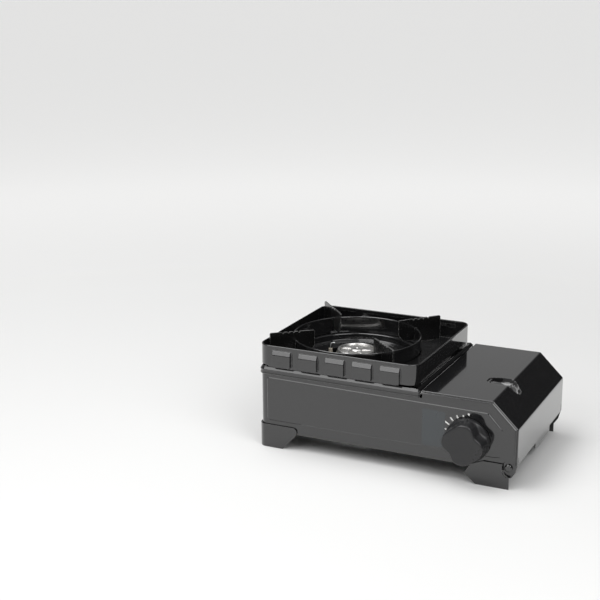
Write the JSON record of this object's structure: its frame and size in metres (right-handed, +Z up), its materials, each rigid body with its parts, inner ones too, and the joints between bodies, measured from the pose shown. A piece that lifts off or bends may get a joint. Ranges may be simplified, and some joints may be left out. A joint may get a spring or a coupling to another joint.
{
  "type": "camping stove",
  "caption": "Compact cassette-gas camping stove: low black steel body with a square double windshield over the burner, upright pot supports, side knob and a hinged gas-compartment cover.",
  "frame": {"origin": "bottom centre of the whole stove, on the table", "axes": "+X along the length towards the gas compartment, -Y the side with the knob, +Z up"},
  "size_m": [0.286, 0.193, 0.1219],
  "materials": {
    "black_enamel_steel": "glossy black baked enamel on sheet steel",
    "porcelain_enamel": "black porcelain enamel, slightly rough",
    "plated_steel": "zinc-plated sheet steel",
    "sheet_aluminium": "plain aluminium sheet",
    "cast_aluminium": "machined aluminium casting, satin",
    "die_cast": "die-cast alloy, grey and slightly rough",
    "brass": "turned brass",
    "knob_plastic": "black moulded plastic, satin",
    "black_plastic": "black moulded plastic, matt",
    "white_ceramic": "white glazed ceramic",
    "lead_insulation": "dark red silicone insulation"
  },
  "bodies": {
    "stove_body": {"body_shell": "black_enamel_steel", "top_plate": "black_enamel_steel", "floor_plate": "black_enamel_steel", "foot_front_left": "black_enamel_steel", "foot_rear_left": "black_enamel_steel", "foot_front_right": "black_enamel_steel", "foot_rear_right": "black_enamel_steel", "side_sill": "black_enamel_steel", "heat_partition": "plated_steel", "hinge_bracket_front": "plated_steel", "hinge_bracket_rear": "plated_steel", "hinge_pin_front": "plated_steel", "hinge_pin_rear": "plated_steel", "canister_rail_left": "plated_steel", "canister_rail_right": "plated_steel", "heat_panel": "sheet_aluminium", "regulator_body": "die_cast", "regulator_dome": "die_cast", "canister_port": "brass", "gas_nozzle": "brass", "mixing_tube": "plated_steel", "burner_body": "die_cast", "burner_cap": "cast_aluminium", "swirl_plate": "cast_aluminium", "burner_bracket": "plated_steel", "igniter_body": "black_plastic", "ignition_lead": "lead_insulation", "electrode_ceramic": "white_ceramic", "electrode_wire": "plated_steel", "electrode_bracket": "plated_steel", "floor_screw_front_left": "plated_steel", "floor_screw_rear_left": "plated_steel", "floor_screw_front_right": "plated_steel", "floor_screw_rear_right": "plated_steel"},
    "cover": {"canister_cover": "black_enamel_steel"},
    "knob": {"control_knob": "knob_plastic", "valve_spindle": "brass", "igniter_cam": "black_plastic"},
    "striker": {"igniter_plunger": "white_ceramic"},
    "holder": {"canister_holder": "plated_steel"},
    "wind_unit": {"windshield": "black_enamel_steel", "windshield_base": "black_enamel_steel", "windbreak_ring": "black_enamel_steel", "pot_support_front_left": "porcelain_enamel", "pot_support_front_right": "porcelain_enamel", "pot_support_rear_right": "porcelain_enamel", "pot_support_rear_left": "porcelain_enamel"},
    "tray": {"drip_tray": "black_enamel_steel"}
  },
  "joints": [
    {"name": "cover_hinge", "type": "hinge", "parent": "stove_body", "child": "cover", "pos_m": [0.1337, 0, 0.022], "axis": [0, 1, 0], "range_deg": [0, 95]},
    {"name": "knob_turn", "type": "hinge", "parent": "stove_body", "child": "knob", "pos_m": [0.0919, 0, 0.0458], "axis": [0, -1, 0], "range_deg": [0, 90]},
    {"name": "striker_slide", "type": "slide", "parent": "stove_body", "child": "striker", "axis": [-1, 0, 0], "range_m": [0, 0.005]},
    {"name": "holder_give", "type": "slide", "parent": "stove_body", "child": "holder", "axis": [0, -1, 0], "range_m": [0, 0.003], "stiffness_N_per_m": 600, "springref_m": -0.001},
    {"name": "windshield_lift", "type": "slide", "parent": "stove_body", "child": "wind_unit", "axis": [0, 0, 1], "range_m": [0, 0.09]},
    {"name": "tray_lift", "type": "slide", "parent": "stove_body", "child": "tray", "axis": [0, 0, 1], "range_m": [0, 0.045]}
  ],
  "couplings": [
    {"joint": "striker_slide", "follows": "knob_turn", "m_per_rad": 0.0031831},
    {"joint": "tray_lift", "follows": "windshield_lift", "ratio": 0.5}
  ]
}
